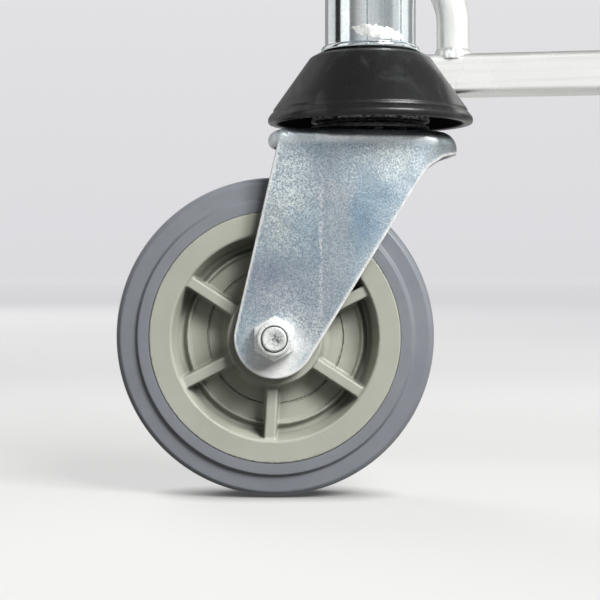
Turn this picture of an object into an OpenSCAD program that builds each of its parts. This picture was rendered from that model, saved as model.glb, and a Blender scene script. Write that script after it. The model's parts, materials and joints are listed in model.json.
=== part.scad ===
// Walking frame on four swivel castors: a welded tube base, telescopic uprights
// and a padded forearm rest. Millimetres, +X forward, +Y left, +Z up.
// The origin is on the floor, in the middle of the overall plan, with all castors trailing.

/* [Base frame] */
// Distance between the front and rear posts, centre to centre
post_dx = 560; // [520:10:620]
// Distance between the left and right posts, centre to centre
post_dy = 600; // [580:10:660]
// Outside diameter of a corner post
post_d = 43; // [41:0.5:45]
// Height of a corner post's top above the floor
post_top = 700; // [660:10:740]
// Side of the square base rail
rail_size = 20; // [18:1:22]
// Height of the base rail's top above the floor
rail_top = 211.5; // [210.5:0.5:213]
// Outside diameter of the upper cross tubes
bar_d = 25; // [22:1:28]
// Height of the upper cross tubes' centre line
bar_z = 520; // [440:10:560]

/* [Corner brace] */
// Outside diameter of the bent brace tube
brace_d = 16; // [14:1:18]
// Distance from the post's axis to the brace's upright part
brace_offset = 37; // [35:1:42]
// Radius of the brace's bend
brace_bend_r = 35; // [30:1:36]

/* [Castor] */
// Diameter of a castor wheel
wheel_d = 150; // [146:1:152]
// Distance from the swivel axis back to the axle
trail = 45; // [43:1:46]
// Height of the fork crown's top above the floor
crown_z = 171.5; // [171:0.5:172]
// Thickness of the fork's pressed sheet
fork_t = 3.5; // [3:0.5:4]
// Half the fork's outside width at the axle
fork_half_w = 27.5; // [27.5:0.5:29]
// Diameter of the axle bolt
axle_d = 12; // [10:1:12]
// Half the wheel's width over its rim face
rim_half_w = 18; // [17:0.5:19]
// Number of ribs on each side of the wheel centre
rib_count = 6; // [5:1:8]
// Angle of all four castors about their swivel axes
castor_turn = 10; // [-30:5:30]

/* [Buffer] */
// Radius of the rubber buffer's lower lip
buffer_r = 48.8; // [48:0.2:50]
// Height of the buffer's lower lip above the floor
buffer_z = 175.2; // [174.8:0.2:176]

/* [Upper frame] */
// Outside diameter of the hoop tube that telescopes into the posts
stem_d = 32; // [30:1:33]
// Height of the hoops' top centre line
hoop_z = 940; // [900:10:980]
// Bend radius of the hoops
hoop_bend_r = 90; // [70:10:100]
// Depth of a stem inside its post
stem_depth = 300; // [260:10:320]
// Outside diameter of the hand grip's bar
grip_bar_d = 22; // [20:1:24]

/* [Forearm rest] */
// Half the forearm rest's outside width
rest_half_w = 325; // [315:5:335]
// Width of one forearm pad
rest_arm_w = 140; // [120:5:150]
// Thickness of the rest's board
board_t = 12; // [9:1:18]
// Thickness of the padding
pad_t = 45; // [35:5:60]

/* [Hidden] */
$fn = 64;
EPS = 0.01;
FIT = 0.05;          // radial running clearance
CLEAR = 0.2;         // clearance between parts that only pass each other
post_r = post_d / 2;
post_wall = 2.6;
bore_r = post_r - post_wall;
rail_r = 3;          // outside corner radius of the square tube
rail_wall = 1.5;
rail_z = rail_top - rail_size / 2;
rail_offset = post_r + rail_size / 2;
rail_rear_end = 22;  // how far a side rail runs on behind its post
brace_wall = 1.5;
brace_side = post_r + brace_d / 2;
brace_straight = 15;
brace_end = 10;      // how far the brace runs past the post's axis
wheel_r = wheel_d / 2;
axle_r = axle_d / 2;
hub_half_w = 21;
hub_r = 22;
bearing_r = 16;
bearing_w = 10;
rim_r = 58.6;        // where the tyre meets the wheel centre
key_r = 61.5;
key_half_w = 6;
rib_half_t = 2.85;
rib_face = 16.4;
rib_turn = -3;
crease_x = -23.8;    // the fork's sides are flat ahead of this line and bow in behind it
heel_x = 41;
heel_r = 20;
toe_x = -48.5;
toe_r = 61;
fork_end_r = 18.7;
fork_inner_half_w = fork_half_w - fork_t;
bow_r = (pow(heel_x - heel_r - crease_x, 2) + pow(fork_half_w, 2) - pow(heel_r, 2))
        / (2 * (fork_half_w - heel_r));
ball_r = 2.5;
race_r = 20;
race_z = crown_z + 1;
ball_count = 10;
head_r = 28;
head_z0 = crown_z + 0.8;
head_z1 = 186;
head_neck_r = 25.5;
post_z0 = 209;
kingpin_r = 6;
nut_flats = 19;
nut_h = 8;
nut_collar_h = 4;
bolt_end = 1.6;      // how far the bolt stands out of its nut
hex_r = nut_flats / 2 / cos(30);
stem_r = stem_d / 2;
stem_wall = 2;
stem_z0 = post_top - stem_depth;
hoop_x = post_dx / 2;
// The trailing castors reach further back than the buffers reach forward
posts_x = floor((trail + wheel_r - buffer_r) / 2);
collar_depth = 60;
collar_flange = 6;
knob_z = post_top - 30;
boss_len = 10;
screw_r = 4;
screw_gap = 0.3;     // between the slackened screw and the stem
knob_h = 15;
board_z = hoop_z + stem_r;
pad_z = board_z + board_t;
rest_x0 = -260;
rest_x1 = 250;
rest_r = 90;
arm_end_r = 40;
slot_r = 70;
slot_half_w = rest_half_w - rest_arm_w;
grip_x = 295;
grip_y = 200;
grip_bend_r = 40;
grip_len = 115;
grip_z1 = 1120;
cross_x = 175;
pad_screw_xs = [-170, 0, 120];

// name, side along X, side along Y
CORNERS = [["rear_left", -1, 1], ["rear_right", -1, -1], ["front_left", 1, 1], ["front_right", 1, -1]];
SIDES = [["left", 1], ["right", -1]];
CORNER_PARTS = ["post", "fork", "axle_bolt", "axle_nut", "axle_sleeve",
                "wheel_core", "tyre", "wheel_bearings", "clamp_knob"];
SIDE_PARTS = ["side_rail", "top_hoop"];
SINGLE_PARTS = ["front_rail", "upper_rails", "corner_braces", "castor_sockets", "swivel_heads",
                "kingpins", "swivel_balls", "rubber_buffers", "rail_end_caps", "clamp_bosses",
                "post_collars", "cross_tube", "pad_board", "arm_pad", "pad_screws",
                "tube_saddles", "grip_bars", "hand_grips"];

STEEL = "silver";
ZINC = [0.72, 0.77, 0.79];
TYRE_GREY = [0.46, 0.49, 0.54];
CORE_GREY = [0.66, 0.67, 0.60];
BLACK = [0.13, 0.13, 0.13];

// ---------- helpers ----------

// Points along an arc in the plane, from angle a0 to a1
function arc(centre, r, a0, a1, steps = 5) =
    [for (i = [0:steps]) centre + r * [cos(a0 + (a1 - a0) * i / steps), sin(a0 + (a1 - a0) * i / steps)]];

// Moves the posts' middle forward of the origin
module placed() translate([posts_x, 0, 0]) children();

module at_corner(c) translate([c[1] * post_dx / 2, c[2] * post_dy / 2, 0]) children();

module castor_at(c) at_corner(c) rotate([0, 0, castor_turn]) children();

// Drawn for a left front corner and mirrored to the others
module on_corner(c) at_corner(c) scale_sign(c[1], c[2]) children();

module scale_sign(sx, sy)
    mirror([sx < 0 ? 1 : 0, 0, 0]) mirror([0, sy < 0 ? 1 : 0, 0]) children();

// Axis along Y, through the axle
module on_axle() translate([-trail, 0, wheel_r]) rotate([90, 0, 0]) children();

module ring(r_out, r_in, h) difference() {
    cylinder(r = r_out, h = h);
    translate([0, 0, -EPS]) cylinder(r = r_in, h = h + 2 * EPS);
}

module rounded_square(size, r) {
    square([size - 2 * r, size], center = true);
    square([size, size - 2 * r], center = true);
    for (x = [-1, 1], y = [-1, 1]) translate([x, y] * (size / 2 - r)) circle(r = r);
}

// Square tube along X from x0 to x1
module square_tube(x0, x1) translate([x0, 0, 0]) rotate([90, 0, 90]) linear_extrude(x1 - x0)
    difference() {
        rounded_square(rail_size, rail_r);
        rounded_square(rail_size - 2 * rail_wall, rail_r - rail_wall);
    }

// A quarter bend of tube from the vertical at the origin to +X, in the XZ plane
module quarter_bend(bend_r, r, wall) translate([bend_r, 0, 0]) rotate([90, 0, 0])
    rotate_extrude(angle = -90, start = 180) translate([bend_r, 0]) difference() {
        circle(r = r);
        circle(r = r - wall);
    }

// ---------- base frame ----------

module post(c) color(STEEL) on_corner(c) difference() {
    translate([0, 0, post_z0]) ring(post_r, bore_r, post_top - post_z0);
    clamp_hole(screw_r + CLEAR);
}

module clamp_hole(r) translate([0, 0, knob_z]) rotate([-90, 0, 0]) cylinder(r = r, h = post_d);

// Everything beyond the 45 degree line through the front left corner of the rails
module mitre(turn) translate([post_dx, post_dy, 0] / 2 + [1, 1, 0] * (rail_offset + rail_size / 2))
    rotate([0, 0, turn]) translate([0, -2 * rail_size, rail_z - rail_size])
        cube([4 * rail_size, 4 * rail_size, 2 * rail_size]);

module side_rail(side) color(STEEL) scale_sign(1, side) difference() {
    translate([0, post_dy / 2 + rail_offset, rail_z])
        square_tube(-post_dx / 2 - rail_rear_end, post_dx / 2 + 2 * rail_offset);
    mitre(-45);
}

module front_rail() color(STEEL) difference() {
    translate([post_dx / 2 + rail_offset, 0, rail_z]) rotate([0, 0, 90])
        square_tube(-post_dy / 2 - 2 * rail_offset, post_dy / 2 + 2 * rail_offset);
    for (side = [1, -1]) scale_sign(1, side) mitre(135);
}

module rail_end_caps() color(BLACK) for (side = [1, -1]) scale_sign(1, side)
    translate([-post_dx / 2 - rail_rear_end, post_dy / 2 + rail_offset, rail_z]) rotate([0, -90, 0]) {
        linear_extrude(2) rounded_square(rail_size, rail_r);
        translate([0, 0, -12]) linear_extrude(12)
            rounded_square(rail_size - 2 * rail_wall - 2 * FIT, rail_r - rail_wall);
    }

// A round tube between two posts, its ends shaped to the posts' sides
module cross_bar(len) difference() {
    translate([-len / 2, 0, 0]) rotate([0, 90, 0]) ring(bar_d / 2, bar_d / 2 - rail_wall, len);
    for (x = [-1, 1]) translate([x * len / 2, 0, -bar_d]) cylinder(r = post_r, h = 2 * bar_d);
}

module upper_rails() color(STEEL) {
    for (side = [1, -1]) translate([0, side * post_dy / 2, bar_z]) cross_bar(post_dx);
    translate([post_dx / 2, 0, bar_z]) rotate([0, 0, 90]) cross_bar(post_dy);
}

// Stands on the side rail next to the post, bends over and is welded to the post's outer side
module corner_braces() color(STEEL) for (c = CORNERS) on_corner(c) {
    translate([-brace_offset, brace_side, rail_top])
        ring(brace_d / 2, brace_d / 2 - brace_wall, brace_straight);
    translate([-brace_offset, brace_side, rail_top + brace_straight])
        quarter_bend(brace_bend_r, brace_d / 2, brace_wall);
    translate([brace_bend_r - brace_offset, brace_side, rail_top + brace_straight + brace_bend_r])
        rotate([0, 90, 0])
            ring(brace_d / 2, brace_d / 2 - brace_wall, brace_offset - brace_bend_r + brace_end);
}

// Stub under each post with its spigot inside it, and the weld bead around the joint
module castor_sockets() color(STEEL) for (c = CORNERS) at_corner(c) difference() {
    union() {
        translate([0, 0, head_z1]) cylinder(r = post_r, h = post_z0 - head_z1);
        translate([0, 0, post_z0]) cylinder(r = bore_r, h = 26);
        rotate_extrude() difference() {
            translate([post_r, post_z0 + 1.4]) circle(r = 1.8);
            square([post_r, 300]);
        }
    }
    translate([0, 0, head_z1 - 1]) cylinder(r = kingpin_r, h = 60);
    for (turn = c[1] > 0 ? [0, 90 * c[2] * c[1]] : [0]) rail_seat(c, turn);
}

// Clears the weld bead where a rail lies against the post
module rail_seat(c, turn) rotate([0, 0, -turn]) scale_sign(1, c[2])
    translate([-60, post_r, rail_top - rail_size]) cube([120, 60, rail_size]);

module clamp_bosses() color(STEEL) for (c = CORNERS) on_corner(c) difference() {
    translate([0, 0, knob_z]) rotate([-90, 0, 0]) cylinder(r = 9, h = post_r + boss_len);
    clamp_hole(screw_r + FIT);
    translate([0, 0, knob_z - 20]) cylinder(r = post_r, h = 40);
}

module post_collars() color(BLACK) for (c = CORNERS) on_corner(c) difference() {
    union() {
        translate([0, 0, post_top - collar_depth]) cylinder(r = bore_r, h = collar_depth);
        translate([0, 0, post_top]) cylinder(r = post_r + 1.5, h = collar_flange);
    }
    translate([0, 0, post_top - collar_depth - 1]) cylinder(r = stem_r + FIT, h = collar_depth + 20);
    clamp_hole(screw_r + CLEAR);
}

// ---------- rubber buffer ----------

BUFFER_OUTSIDE = concat(
    arc([buffer_r - 2.4, buffer_z + 2.4], 2.4, -90, 60),
    [[buffer_r - 2.3, buffer_z + 5.4], [buffer_r - 3.5, buffer_z + 8]],
    arc([post_r + 3.2, 206.2], 2.4, 40, 90));

BUFFER_INSIDE = [[post_r + CLEAR, 208.6], [post_r + CLEAR, 203], [24, 202], [buffer_r - 5.8, buffer_z + 1.2],
                 [buffer_r - 5.2, buffer_z]];

module rail_notch() translate([-60, post_r - 1, rail_top - rail_size - 1]) cube([120, 60, 60]);

module rubber_buffers() color(BLACK) for (c = CORNERS) on_corner(c) difference() {
    rotate_extrude() polygon(concat(BUFFER_OUTSIDE, BUFFER_INSIDE));
    difference() {
        rail_notch();
        if (c[1] < 0) translate([rail_rear_end + 3, 0, 0]) cube([60, 60, 300]);
    }
    if (c[1] > 0) {
        mirror([-1, 1, 0]) rail_notch();
        translate([5, 5, rail_top - rail_size - 1]) cube(60);
    }
}

// ---------- swivel bearing ----------

module ball_groove() translate([0, 0, race_z]) rotate_extrude() translate([race_r, 0])
    circle(r = ball_r + 0.1);

module swivel_heads() color(ZINC) for (c = CORNERS) at_corner(c) difference() {
    rotate_extrude() polygon(concat(
        [[0, head_z0], [head_r, head_z0], [head_r, head_z0 + 1.8], [head_neck_r, head_z0 + 2.2]],
        [[head_neck_r, head_z0 + 3.2], [head_r, head_z0 + 3.6]],
        arc([head_r - 6, head_z1 - 6], 6, 0, 90), [[0, head_z1]]));
    ball_groove();
    translate([0, 0, head_z0 - 1]) cylinder(r = kingpin_r, h = 30);
}

module kingpins() color(STEEL) for (c = CORNERS) at_corner(c) {
    translate([0, 0, crown_z - fork_t - 6.1]) cylinder(r = 11, h = 6);
    translate([0, 0, crown_z - fork_t - 1]) cylinder(r = kingpin_r, h = 50);
}

module swivel_balls() color(STEEL) for (c = CORNERS) at_corner(c)
    for (i = [0:ball_count - 1]) rotate([0, 0, 360 / ball_count * i])
        translate([race_r, 0, race_z]) sphere(r = ball_r);

// ---------- fork ----------

module bow(side, inset) translate([crease_x, side * (fork_half_w - bow_r)])
    circle(r = bow_r - inset, $fn = 360);

// The crown seen from above: flat sides, bowed in ahead of the crease to a round heel
module fork_plan(inset) {
    translate([toe_x - 20, inset - fork_half_w]) square([crease_x - toe_x + 20, 2 * (fork_half_w - inset)]);
    intersection() {
        bow(1, inset);
        bow(-1, inset);
        translate([crease_x - EPS, -fork_half_w])
            square([(heel_x - heel_r - crease_x) * bow_r / (bow_r - heel_r), 2 * fork_half_w]);
    }
    translate([heel_x - heel_r, 0]) circle(r = heel_r - inset);
}

module toe_plan(inset) intersection() {
    fork_plan(inset);
    translate([toe_x + toe_r, 0]) circle(r = toe_r - inset, $fn = 128);
}

// The cheeks seen from the side, leaning back from the crown to the axle
module fork_side() rotate([90, 0, 0]) linear_extrude(4 * fork_half_w, center = true) {
    polygon(concat([[-42, crown_z]], arc([-trail, wheel_r], fork_end_r, 167, 327, 16),
        [[19.6, 144], [21.5, 147.2]], [[24.4, 151.4], [27.6, 155], [31.4, 157.6], [36, 159.6]],
        [[heel_x, 161], [heel_x + 1, 161], [heel_x + 1, crown_z]]));
    translate([toe_x - 1, crown_z - 6]) square([20, 6]);
}

module fork(c) color(ZINC) castor_at(c) difference() {
    intersection() {
        fork_side();
        union() {
            translate([0, 0, crown_z - fork_t]) linear_extrude(fork_t) toe_plan(0);
            translate([0, 0, crown_z - 6]) linear_extrude(6) difference() {
                toe_plan(0);
                toe_plan(fork_t);
            }
            translate([0, 0, 40]) linear_extrude(crown_z - 40) difference() {
                fork_plan(0);
                fork_plan(fork_t);
                translate([toe_x - 30, -fork_inner_half_w]) square([40, 2 * fork_inner_half_w]);
            }
        }
    }
    ball_groove();
    translate([0, 0, crown_z - 10]) cylinder(r = kingpin_r + FIT, h = 20);
    on_axle() cylinder(r = axle_r, h = 4 * fork_half_w, center = true);
}

// ---------- axle ----------

module axle_bolt(c) color(ZINC) castor_at(c) on_axle() {
    translate([0, 0, -fork_half_w - 7.5]) cylinder(r = hex_r, h = 7.5, $fn = 6);
    translate([0, 0, -fork_half_w - 1])
        cylinder(r = axle_r, h = 2 * fork_half_w + 1 + nut_h + nut_collar_h + bolt_end);
}

module axle_nut(c) color(ZINC) castor_at(c) on_axle() translate([0, 0, fork_half_w]) difference() {
    union() {
        rotate([0, 0, 30]) cylinder(r = hex_r, h = nut_h, $fn = 6);
        cylinder(r = 7.8, h = nut_h + nut_collar_h);
    }
    translate([0, 0, -1]) cylinder(r = axle_r, h = 20);
}

// One spacer between the bearings and one from each bearing out to its cheek
module axle_sleeve(c) color(STEEL) castor_at(c) on_axle() {
    translate([0, 0, bearing_w + 0.6 - hub_half_w]) ring(8, axle_r, 2 * (hub_half_w - bearing_w - 0.6));
    for (turn = [0, 180]) rotate([turn, 0, 0]) translate([0, 0, hub_half_w - 0.4])
        ring(8, axle_r, fork_inner_half_w - hub_half_w + 0.4);
}

// ---------- wheel ----------

CORE_HALF = [[13, 0], [13, hub_half_w - bearing_w - 0.5], [bearing_r, hub_half_w - bearing_w - 0.5],
             [bearing_r, hub_half_w], [hub_r - 0.8, hub_half_w], [hub_r, hub_half_w - 0.8], [hub_r + 0.5, 8],
             [hub_r + 3, 5], [31, 5], [31.5, 4.5], [32, 5], [40, 5], [43, 6], [45, 9], [48.3, rim_half_w],
             [rim_r, rim_half_w], [rim_r, key_half_w], [key_r, key_half_w], [key_r, 0]];

TYRE_HALF = [[key_r, 0], [key_r, key_half_w], [rim_r, key_half_w], [rim_r, rim_half_w], [62.9, rim_half_w],
             [63.8, rim_half_w - 0.4], [64.4, rim_half_w - 1.6], [69.5, rim_half_w - 2],
             [wheel_r - 2.6, 14.6], [wheel_r - 1.2, 12.6], [wheel_r - 0.4, 8.5], [wheel_r, 3], [wheel_r, 0]];

// A wheel part turned from half its section, the same on both sides
module turned(half) for (flip = [0, 1]) mirror([0, 0, flip]) rotate_extrude($fn = 128) polygon(half);

module wheel_core(c) color(CORE_GREY) castor_at(c) on_axle() {
    turned(CORE_HALF);
    for (i = [0:rib_count - 1]) rotate([0, 0, 360 / rib_count * i + 27])
        translate([hub_r - 1, -rib_half_t, -rib_face]) cube([27, 2 * rib_half_t, 2 * rib_face]);
}

module tyre(c) color(TYRE_GREY) castor_at(c) on_axle() turned(TYRE_HALF);

module wheel_bearings(c) color(STEEL) castor_at(c) on_axle() for (turn = [0, 180]) rotate([turn, 0, 0])
    translate([0, 0, hub_half_w - bearing_w - 0.5]) ring(bearing_r, axle_r + FIT, bearing_w);

// ---------- height clamps ----------

module clamp_knob(c) color(BLACK) on_corner(c) translate([0, 0, knob_z]) rotate([-90, 0, 0]) {
    translate([0, 0, stem_r + screw_gap])
        cylinder(r = screw_r, h = post_r + boss_len + 6 - stem_r - screw_gap);
    translate([0, 0, post_r + boss_len + 1]) {
        cylinder(r = 10, h = 5);
        translate([0, 0, 5]) linear_extrude(knob_h) difference() {
            circle(r = 24);
            for (i = [0:4]) rotate([0, 0, 72 * i + 36]) translate([29, 0]) circle(r = 11);
        }
    }
}

// ---------- telescopic upper frame ----------

module top_hoop(side) color(STEEL) translate([0, side * post_dy / 2, 0]) {
    for (end = [1, -1]) scale_sign(end, 1) translate([hoop_x, 0, 0]) {
        translate([0, 0, stem_z0]) ring(stem_r, stem_r - stem_wall, hoop_z - hoop_bend_r - stem_z0);
        translate([0, 0, hoop_z - hoop_bend_r]) mirror([1, 0, 0])
            quarter_bend(hoop_bend_r, stem_r, stem_wall);
    }
    translate([hoop_bend_r - hoop_x, 0, hoop_z]) rotate([0, 90, 0])
        ring(stem_r, stem_r - stem_wall, 2 * (hoop_x - hoop_bend_r));
}

module cross_tube() color(STEEL) difference() {
    translate([cross_x, -post_dy / 2, board_z - bar_d / 2]) rotate([-90, 0, 0])
        ring(bar_d / 2, bar_d / 2 - rail_wall, post_dy);
    for (side = [1, -1]) translate([cross_x - 40, side * post_dy / 2, hoop_z]) rotate([0, 90, 0])
        cylinder(r = stem_r, h = 80);
}

// ---------- forearm rest ----------

// U-shaped, open to the rear, grown outwards by g
module rest_plan(g) difference() {
    union() {
        translate([rest_x0 + arm_end_r, -rest_half_w - g])
            square([rest_x1 - rest_r - rest_x0 - arm_end_r, 2 * (rest_half_w + g)]);
        translate([rest_x1 - rest_r - 1, -rest_half_w + rest_r])
            square([rest_r + g + 1, 2 * (rest_half_w - rest_r)]);
        for (side = [1, -1]) {
            translate([rest_x1 - rest_r, side * (rest_half_w - rest_r)]) circle(r = rest_r + g);
            for (y = [slot_half_w + arm_end_r, rest_half_w - arm_end_r])
                translate([rest_x0 + arm_end_r, side * y]) circle(r = arm_end_r + g);
            translate([rest_x0 - g, side > 0 ? slot_half_w + arm_end_r : arm_end_r - rest_half_w])
                square([arm_end_r + g + 1, rest_arm_w - 2 * arm_end_r]);
        }
    }
    translate([rest_x0 + arm_end_r, g - slot_half_w])
        square([rest_x1 - rest_arm_w - slot_r - rest_x0 - arm_end_r, 2 * (slot_half_w - g)]);
    translate([rest_x0 - 50, -slot_half_w - (arm_end_r - g) + arm_end_r])
        square([arm_end_r + 51, 2 * (slot_half_w - g)]);
    translate([rest_x1 - rest_arm_w - slot_r - 1, slot_r - slot_half_w])
        square([slot_r - g + 1, 2 * (slot_half_w - slot_r)]);
    for (side = [1, -1]) translate([rest_x1 - rest_arm_w - slot_r, side * (slot_half_w - slot_r)])
        circle(r = slot_r - g);
}

module pad_board() color(BLACK) translate([0, 0, board_z]) difference() {
    linear_extrude(board_t) rest_plan(0);
    pad_screw_holes();
}

module arm_pad() color(BLACK) translate([0, 0, pad_z]) difference() {
    union() {
        linear_extrude(pad_t - 12) rest_plan(6);
        linear_extrude(pad_t - 5) rest_plan(1);
        linear_extrude(pad_t) rest_plan(-8);
    }
    translate([0, 0, -board_t]) pad_screw_holes();
}

module pad_screw_holes() for (x = pad_screw_xs, side = [1, -1])
    translate([x, side * (slot_half_w + 45), -1]) cylinder(r = 3, h = board_t + 12);

module pad_screws() color(ZINC) for (x = pad_screw_xs, side = [1, -1])
    translate([x, side * (slot_half_w + 45), board_z]) {
        translate([0, 0, -3]) cylinder(r = 6, h = 3);
        translate([0, 0, -1]) cylinder(r = 3, h = board_t + 11);
    }

// Straps that hold the board down on the hoops
module tube_saddles() color(ZINC) for (x = [-120, 110], side = [1, -1])
    translate([x, side * post_dy / 2, hoop_z]) rotate([0, 90, 0]) linear_extrude(18, center = true)
        difference() {
            union() {
                circle(r = stem_r + 2);
                translate([-stem_r, -stem_r - 2]) square([stem_r, 2 * stem_r + 4]);
                translate([-stem_r, -stem_r - 9]) square([2, 2 * stem_r + 18]);
            }
            circle(r = stem_r);
            translate([-stem_r - 10, -stem_r]) square([10 + stem_r, 2 * stem_r]);
            translate([-stem_r - 10, -100]) square([10, 200]);
        }

module grip_bars() color(STEEL) for (side = [1, -1]) translate([0, side * grip_y, 0]) {
    translate([grip_x, 0, board_z - bar_d / 2 + grip_bend_r])
        ring(grip_bar_d / 2, grip_bar_d / 2 - 2, grip_z1 - board_z + bar_d / 2 - grip_bend_r);
    translate([grip_x, 0, board_z - bar_d / 2 + grip_bend_r]) scale_sign(-1, 1) mirror([0, 0, 1])
        quarter_bend(grip_bend_r, grip_bar_d / 2, 2);
    translate([cross_x, 0, board_z - bar_d / 2]) difference() {
        rotate([0, 90, 0]) ring(grip_bar_d / 2, grip_bar_d / 2 - 2, grip_x - grip_bend_r - cross_x);
        rotate([90, 0, 0]) cylinder(r = bar_d / 2, h = 60, center = true);
    }
}

module hand_grips() color(BLACK) for (side = [1, -1]) translate([grip_x, side * grip_y, 0]) rotate_extrude()
    polygon(concat([[0, grip_z1], [grip_bar_d / 2, grip_z1], [grip_bar_d / 2, grip_z1 - grip_len]],
        [[20, grip_z1 - grip_len], [20, grip_z1 - grip_len + 4], [15.5, grip_z1 - grip_len + 6]],
        [[16.5, grip_z1 - 60], [15.5, grip_z1 - 8]], arc([11.5, grip_z1 + 1], 4, 0, 90), [[0, grip_z1 + 5]]));

// ---------- nodes ----------

placed() post(CORNERS[0]);  // post_rear_left
placed() post(CORNERS[1]);  // post_rear_right
placed() post(CORNERS[2]);  // post_front_left
placed() post(CORNERS[3]);  // post_front_right
placed() fork(CORNERS[0]);  // fork_rear_left
placed() fork(CORNERS[1]);  // fork_rear_right
placed() fork(CORNERS[2]);  // fork_front_left
placed() fork(CORNERS[3]);  // fork_front_right
placed() axle_bolt(CORNERS[0]);  // axle_bolt_rear_left
placed() axle_bolt(CORNERS[1]);  // axle_bolt_rear_right
placed() axle_bolt(CORNERS[2]);  // axle_bolt_front_left
placed() axle_bolt(CORNERS[3]);  // axle_bolt_front_right
placed() axle_nut(CORNERS[0]);  // axle_nut_rear_left
placed() axle_nut(CORNERS[1]);  // axle_nut_rear_right
placed() axle_nut(CORNERS[2]);  // axle_nut_front_left
placed() axle_nut(CORNERS[3]);  // axle_nut_front_right
placed() axle_sleeve(CORNERS[0]);  // axle_sleeve_rear_left
placed() axle_sleeve(CORNERS[1]);  // axle_sleeve_rear_right
placed() axle_sleeve(CORNERS[2]);  // axle_sleeve_front_left
placed() axle_sleeve(CORNERS[3]);  // axle_sleeve_front_right
placed() wheel_core(CORNERS[0]);  // wheel_core_rear_left
placed() wheel_core(CORNERS[1]);  // wheel_core_rear_right
placed() wheel_core(CORNERS[2]);  // wheel_core_front_left
placed() wheel_core(CORNERS[3]);  // wheel_core_front_right
placed() tyre(CORNERS[0]);  // tyre_rear_left
placed() tyre(CORNERS[1]);  // tyre_rear_right
placed() tyre(CORNERS[2]);  // tyre_front_left
placed() tyre(CORNERS[3]);  // tyre_front_right
placed() wheel_bearings(CORNERS[0]);  // wheel_bearings_rear_left
placed() wheel_bearings(CORNERS[1]);  // wheel_bearings_rear_right
placed() wheel_bearings(CORNERS[2]);  // wheel_bearings_front_left
placed() wheel_bearings(CORNERS[3]);  // wheel_bearings_front_right
placed() clamp_knob(CORNERS[0]);  // clamp_knob_rear_left
placed() clamp_knob(CORNERS[1]);  // clamp_knob_rear_right
placed() clamp_knob(CORNERS[2]);  // clamp_knob_front_left
placed() clamp_knob(CORNERS[3]);  // clamp_knob_front_right
placed() side_rail(1);  // side_rail_left
placed() side_rail(-1);  // side_rail_right
placed() top_hoop(1);  // top_hoop_left
placed() top_hoop(-1);  // top_hoop_right
placed() front_rail();
placed() upper_rails();
placed() corner_braces();
placed() castor_sockets();
placed() swivel_heads();
placed() kingpins();
placed() swivel_balls();
placed() rubber_buffers();
placed() rail_end_caps();
placed() clamp_bosses();
placed() post_collars();
placed() cross_tube();
placed() pad_board();
placed() arm_pad();
placed() pad_screws();
placed() tube_saddles();
placed() grip_bars();
placed() hand_grips();
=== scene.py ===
"""A wheeled walking frame: looks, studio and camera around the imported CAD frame."""
import json
import math

import bpy
import numpy as np
from mathutils import Matrix, Vector


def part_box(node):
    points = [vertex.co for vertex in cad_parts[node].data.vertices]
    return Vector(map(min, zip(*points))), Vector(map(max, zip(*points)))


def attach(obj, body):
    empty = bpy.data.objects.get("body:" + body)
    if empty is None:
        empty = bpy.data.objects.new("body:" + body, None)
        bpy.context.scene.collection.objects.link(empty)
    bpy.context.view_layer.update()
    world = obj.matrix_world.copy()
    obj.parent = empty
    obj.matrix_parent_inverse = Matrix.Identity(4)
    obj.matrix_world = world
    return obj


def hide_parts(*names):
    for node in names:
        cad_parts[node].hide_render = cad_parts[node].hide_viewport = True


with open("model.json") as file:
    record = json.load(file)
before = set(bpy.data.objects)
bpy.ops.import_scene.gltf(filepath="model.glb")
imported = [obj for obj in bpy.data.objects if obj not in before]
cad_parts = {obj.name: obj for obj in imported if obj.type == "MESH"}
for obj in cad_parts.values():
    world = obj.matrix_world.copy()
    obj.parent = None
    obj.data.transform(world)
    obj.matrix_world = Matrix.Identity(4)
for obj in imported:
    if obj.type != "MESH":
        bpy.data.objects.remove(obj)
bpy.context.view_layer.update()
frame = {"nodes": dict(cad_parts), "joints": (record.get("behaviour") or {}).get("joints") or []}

# ---- sizes from the frame
# POST and the two-corner boxes are in metres, as the frame gives them; plain numbers are millimetres.
CORNERS = {"rear_left": (-1, 1), "rear_right": (-1, -1), "front_left": (1, 1), "front_right": (1, -1)}


def centre(node):
    lo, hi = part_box(node)
    return (lo + hi) / 2


def axle_turn(corner):
    joint = next(j for j in frame["joints"] if j["name"] == "roll_" + corner)
    return math.atan2(-joint["axis"][0], joint["axis"][1])


POST = {c: centre("post_" + c) for c in CORNERS}
TURN = {c: axle_turn(c) for c in CORNERS}
WHEEL_R = 1000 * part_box("tyre_rear_left")[1].z / 2
TRAIL = 1000 * (centre("tyre_rear_left") - POST["rear_left"]).to_2d().length
POST_R = 500 * (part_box("post_rear_left")[1].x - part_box("post_rear_left")[0].x)
RAIL_TOP = 1000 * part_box("side_rail_left")[1].z
RAIL_BOTTOM = 1000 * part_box("side_rail_left")[0].z
RAIL_REAR = 1000 * (POST["rear_left"].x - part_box("side_rail_left")[0].x)
HEAD_LO = 1000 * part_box("swivel_heads")[0].z
HEAD_HI = 1000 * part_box("swivel_heads")[1].z
CROWN = 1000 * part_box("fork_rear_left")[1].z
PAD_LO, PAD_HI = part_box("arm_pad")
GRIP_LO, GRIP_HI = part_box("hand_grips")
KNOB_Z = 1000 * centre("clamp_knob_rear_left").z
LIP = 1000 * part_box("rubber_buffers")[0].z
AXLE = np.array([-TRAIL, WHEEL_R])
SHEET = 3.5      # thickness of the fork's plate
HALF_W = 27.5    # from the wheel's middle plane to the outside of a fork cheek
BORE_R = 6.1     # bolt and kingpin holes


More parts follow.
